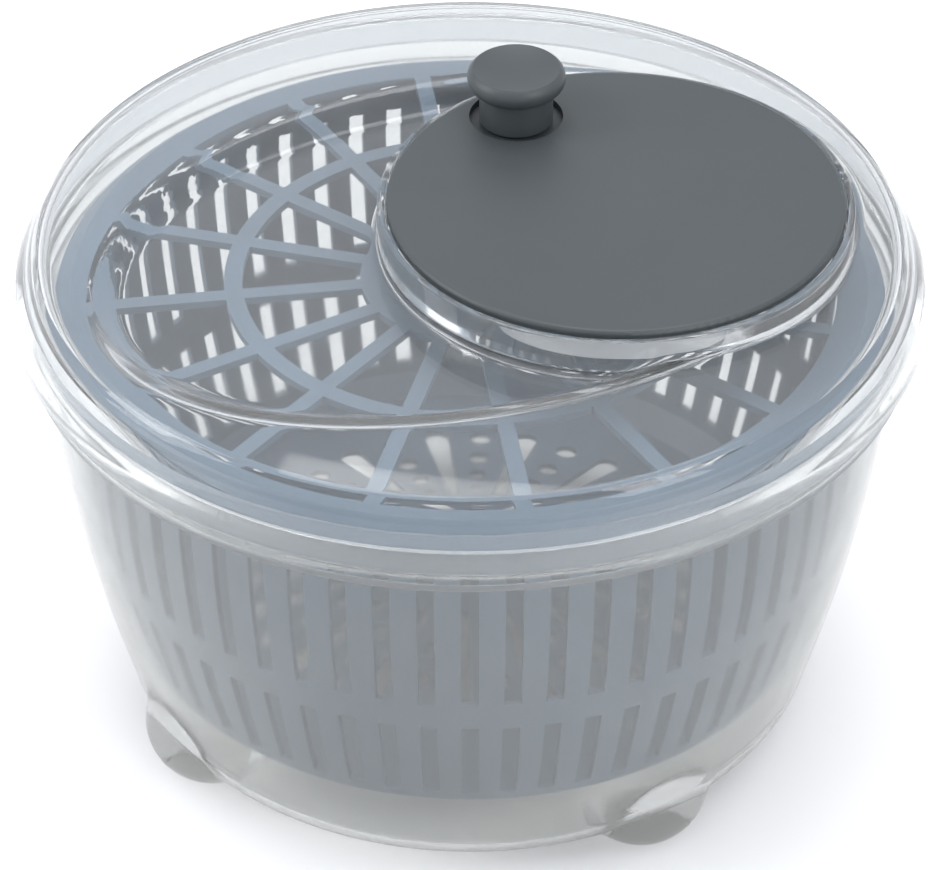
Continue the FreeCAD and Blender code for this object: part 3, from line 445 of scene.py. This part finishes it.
def make_bowl():
    """Frosted bowl: rolled rim, gently bowed wall, rounded heel with four feet, raised cone."""
    count = 720
    base, wall = 5.0 * MM, 2.2 * MM
    heel = (98.8 * MM, 16.0 * MM)
    middle = (110.0 * MM, 64.0 * MM)
    lip = BOWL_HIGH[2]
    rim_top = LID_EDGE - 3.8 * MM
    rim_low = rim_top - 4.2 * MM
    neck = (117.3 * MM, rim_low)
    rim = BOWL_HIGH[0]
    outside = [(r * MM, base) for r in (20.0, 45.0, 60.0)]
    outside += [(r * MM, base) for r in np.linspace(66.0, 86.0, 20)]
    outside += through((87.0 * MM, base), (heel[0] - 3.4 * MM, base + 3.6 * MM), heel, 26)
    outside += through(heel, middle, neck, 90)[1:]
    outer_rings = bulge_feet([circle_points(r, z, count) for r, z in outside])
    roll = 1.1 * MM
    rolled = [(neck[0] + 0.3 * MM, rim_low - 0.05 * MM), (rim - roll, rim_low)]
    rolled += arc((rim - roll, rim_low + roll), roll, -70, 0, 5)
    rolled += arc((rim - roll, rim_top - roll), roll, 0, 80, 5)
    rolled += [(120.2 * MM, rim_top), (119.6 * MM, rim_top + 0.4 * MM)]
    rolled += [(119.5 * MM, rim_top + 1.2 * MM), (119.5 * MM, lip - 0.6 * MM)]
    rolled += arc((118.4 * MM, lip - 1.05 * MM), 1.05 * MM, 20, 160, 8)
    inner = [(heel[0] - wall, heel[1]), (middle[0] - wall, middle[1]), (neck[0] - wall, rim_low)]
    inside = [(117.3 * MM, lip - 1.6 * MM)] + through(*inner, 60)[::-1]
    low = base + wall
    inside += through((85.9 * MM, low), (93.75 * MM, 9.92 * MM), inner[0], 20)[::-1][1:]
    inside += [(70.0 * MM, low), (50.0 * MM, low), (30.0 * MM, low), (25.5 * MM, low),
               (24.0 * MM, low + 0.5 * MM), (22.8 * MM, low + 1.6 * MM)]
    cone_top = PIN_LOW[2] + 9.0 * MM
    inside += [(9.6 * MM, cone_top - 0.8 * MM), (8.6 * MM, cone_top), (3.0 * MM, cone_top),
               (3.0 * MM, PIN_LOW[2]), (0.4 * MM, PIN_LOW[2])]
    rings = [circle_points(0.4 * MM, base, count)] + outer_rings
    rings += [circle_points(r, z, count) for r, z in rolled + inside]
    bowl = ring_stack("bowl_shell", rings, FROSTED, "bowl", ends_meet=False)
    return bowl


# ---- stage ----------------------------------------------------------------------------------

def make_floor():
    """Pale, very slightly uneven table surface."""
    size = 6.0
    mesh = bpy.data.meshes.new("table_top")
    mesh.from_pydata([(-size, -size, 0), (size, -size, 0), (size, size, 0), (-size, size, 0)], [],
                     [(0, 1, 2, 3)])
    made = Material("pale_table", (0.93, 0.93, 0.93), 0.6)
    made.vary_roughness(made.noise(4.0, 3.0), 0.55, 0.7)
    mesh.materials.append(made.material)
    floor = bpy.data.objects.new("table_top", mesh)
    bpy.context.scene.collection.objects.link(floor)


def make_light(name, place, target, size, power, spread=180.0):
    data = bpy.data.lights.new(name, "AREA")
    data.shape = "RECTANGLE"
    data.size, data.size_y = size
    data.energy = power
    data.spread = math.radians(spread)
    light = bpy.data.objects.new(name, data)
    light.location = place
    light.rotation_euler = (Vector(target) - Vector(place)).to_track_quat("-Z", "Y").to_euler()
    bpy.context.scene.collection.objects.link(light)


def make_lights():
    """Even white surround, a wide softbox overhead and strip boxes that draw the lid's highlights."""
    world = bpy.data.worlds.new("studio")
    world.use_nodes = True
    world.node_tree.nodes["Background"].inputs["Color"].default_value = (0.93, 0.95, 1.0, 1.0)
    world.node_tree.nodes["Background"].inputs["Strength"].default_value = 0.97
    bpy.context.scene.world = world
    aim = (0.0, 0.0, 0.12)
    make_light("overhead_softbox", (0.1, 0.25, 1.5), aim, (1.1, 0.8), 9.0)
    make_light("left_strip", (-1.2, -0.1, 0.9), aim, (0.5, 0.9), 9.0)
    make_light("right_front_box", (1.0, -0.9, 1.0), aim, (0.6, 0.6), 7.0)


def make_camera():
    """Long lens, 36 degrees above the table, on the object's front."""
    distance, elevation, pitch = 1.204, 35.64, 37.57
    aim = Vector((0.0, 0.0, LID_EDGE))
    data = bpy.data.cameras.new("camera")
    data.sensor_width = 36.0
    data.lens = 168.5
    camera = bpy.data.objects.new("camera", data)
    rise = math.radians(elevation)
    camera.location = aim + Vector((0.0, -distance * math.cos(rise), distance * math.sin(rise)))
    camera.rotation_euler = (math.radians(90.0 - pitch), 0.0, 0.0)
    bpy.context.scene.collection.objects.link(camera)
    bpy.context.scene.camera = camera


dress_cad_nodes()
lid = make_lid()
bore_for_shaft(lid)
sharpen(lid)
lid.visible_shadow = False
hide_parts("lid")
bowl = make_bowl()
sharpen(bowl)
bowl.visible_shadow = False
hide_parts("outer_bowl")
make_floor()
make_lights()
make_camera()
bpy.context.scene.view_settings.view_transform = "Standard"
